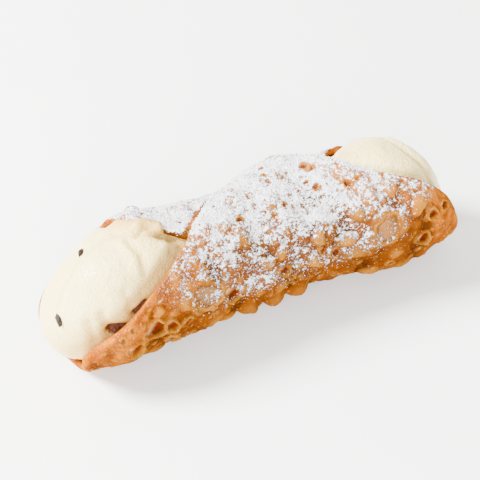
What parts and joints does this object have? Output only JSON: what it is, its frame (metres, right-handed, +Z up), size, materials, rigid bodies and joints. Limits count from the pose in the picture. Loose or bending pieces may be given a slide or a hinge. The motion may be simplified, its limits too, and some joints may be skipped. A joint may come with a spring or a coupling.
{
  "type": "cannolo",
  "caption": "Sicilian pastry: a blistered fried dough tube with one flap lapped over the other, filled with ricotta cream that domes out of both slanted mouths.",
  "frame": {"origin": "middle of the overall box, at the floor under the belly", "axes": "+X along the tube towards the end with the lower, narrower mouth; -Y is the side of the outer flap; +Z up"},
  "size_m": [0.1234, 0.042, 0.0393],
  "materials": {
    "fried_dough": "golden brown, blistered, lightly glossy",
    "ricotta_cream": "smooth, moist, soft sheen"
  },
  "bodies": {
    "root": {"shell": "fried_dough", "cream": "ricotta_cream"}
  },
  "joints": []
}
